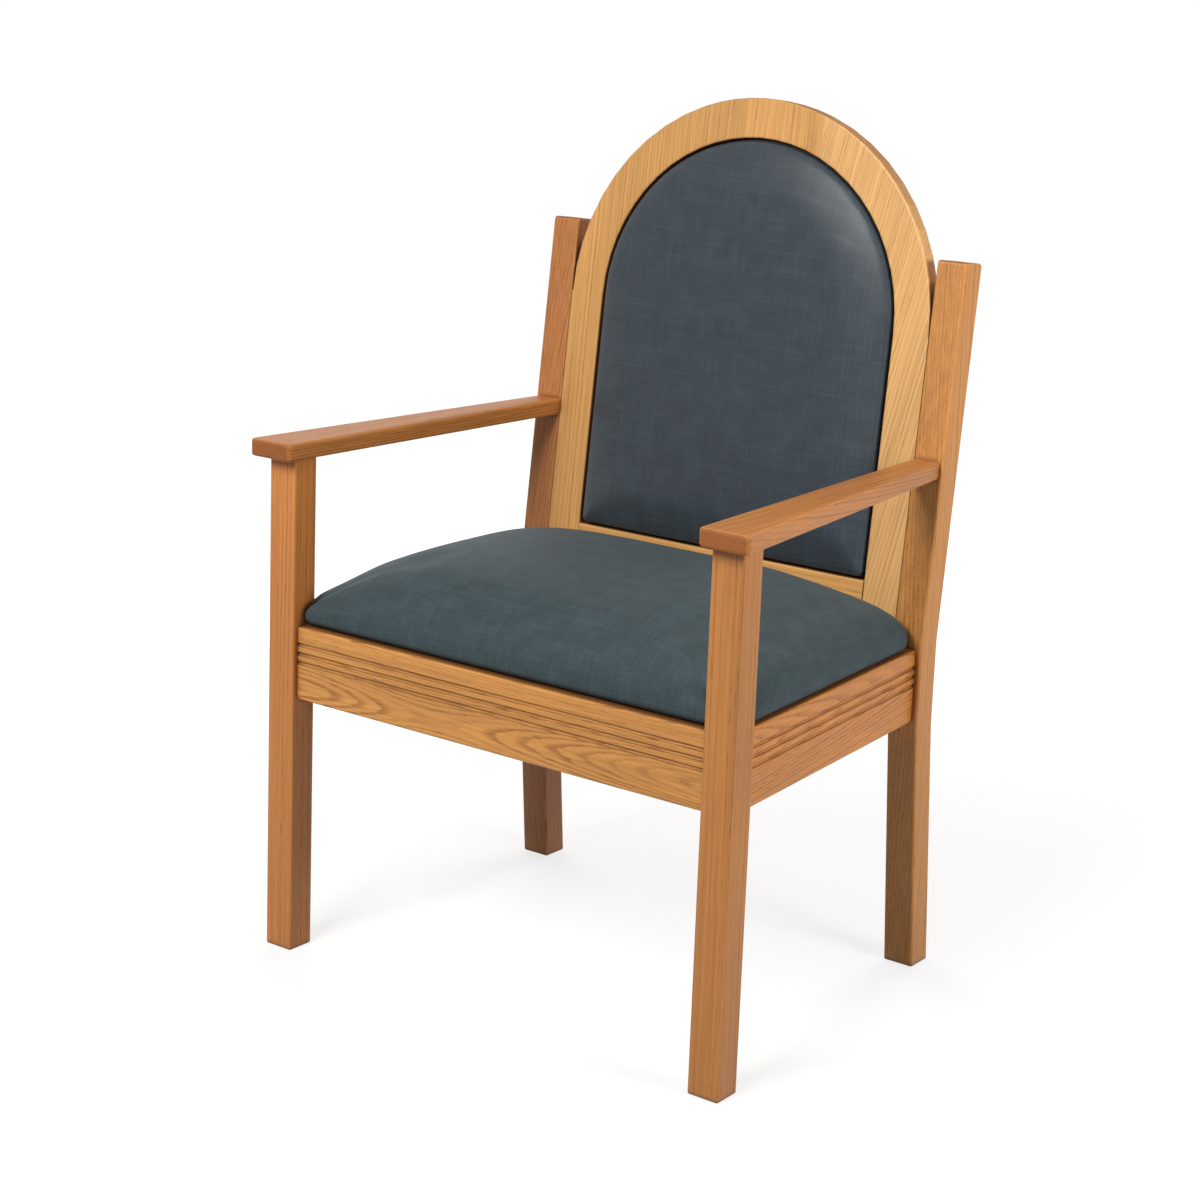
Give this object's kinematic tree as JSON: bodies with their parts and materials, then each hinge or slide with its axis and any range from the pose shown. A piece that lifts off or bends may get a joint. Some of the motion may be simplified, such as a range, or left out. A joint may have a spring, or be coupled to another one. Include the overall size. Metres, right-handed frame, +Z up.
{
  "type": "celebrant chair",
  "caption": "Oak armchair with an arched frame round an upholstered back pad, a crowned upholstered seat, grooved seat rails and tapering flat arms.",
  "frame": {"origin": "on the floor under the middle of the chair's box", "axes": "+Z up, -Y towards the front of the seat, +X towards the right of a person looking at the front"},
  "size_m": [0.7244, 0.5706, 1.0692],
  "materials": {
    "honey_oak": "clear satin lacquer on honey-stained oak",
    "hidden_hardwood": "bare planed hardwood",
    "birch_plywood": "bare plywood",
    "slate_fabric": "plain woven slate blue-grey upholstery cloth",
    "seat_foam": "open-cell upholstery foam",
    "dust_cloth": "black non-woven dust cloth",
    "zinc_steel": "zinc-plated countersunk wood screws"
  },
  "bodies": {
    "root": {"front_leg_left": "honey_oak", "front_leg_right": "honey_oak", "rear_post_left": "honey_oak", "rear_post_right": "honey_oak", "front_rail": "honey_oak", "rear_rail": "honey_oak", "side_rail_left": "honey_oak", "side_rail_right": "honey_oak", "arm_left": "honey_oak", "arm_right": "honey_oak", "back_stile_left": "honey_oak", "back_stile_right": "honey_oak", "arch_shoulder_left": "honey_oak", "arch_shoulder_right": "honey_oak", "arch_crown": "honey_oak", "back_bottom_rail": "honey_oak", "outside_back_panel": "honey_oak", "corner_block_front_left": "hidden_hardwood", "corner_block_front_right": "hidden_hardwood", "corner_block_rear_left": "hidden_hardwood", "corner_block_rear_right": "hidden_hardwood", "arm_front_dowel_left": "hidden_hardwood", "arm_front_dowel_right": "hidden_hardwood", "arm_rear_dowel_left": "hidden_hardwood", "arm_rear_dowel_right": "hidden_hardwood", "head_dowel_left": "hidden_hardwood", "head_dowel_right": "hidden_hardwood", "stile_dowel_left_0": "hidden_hardwood", "stile_dowel_left_1": "hidden_hardwood", "stile_dowel_right_0": "hidden_hardwood", "stile_dowel_right_1": "hidden_hardwood", "seat_board": "birch_plywood", "back_pad_board": "birch_plywood", "seat_cover": "slate_fabric", "back_pad_cover": "slate_fabric", "seat_foam": "seat_foam", "back_pad_foam": "seat_foam", "dust_cover": "dust_cloth", "rail_screw_front_left": "zinc_steel", "rail_screw_front_right": "zinc_steel", "rail_screw_rear_left": "zinc_steel", "rail_screw_rear_right": "zinc_steel", "side_screw_front_left": "zinc_steel", "side_screw_front_right": "zinc_steel", "side_screw_rear_left": "zinc_steel", "side_screw_rear_right": "zinc_steel", "seat_screw_front_left": "zinc_steel", "seat_screw_front_right": "zinc_steel", "seat_screw_rear_left": "zinc_steel", "seat_screw_rear_right": "zinc_steel", "panel_screw_left_0": "zinc_steel", "panel_screw_left_1": "zinc_steel", "panel_screw_right_0": "zinc_steel", "panel_screw_right_1": "zinc_steel", "panel_screw_crown": "zinc_steel", "panel_screw_sill": "zinc_steel"}
  },
  "joints": []
}
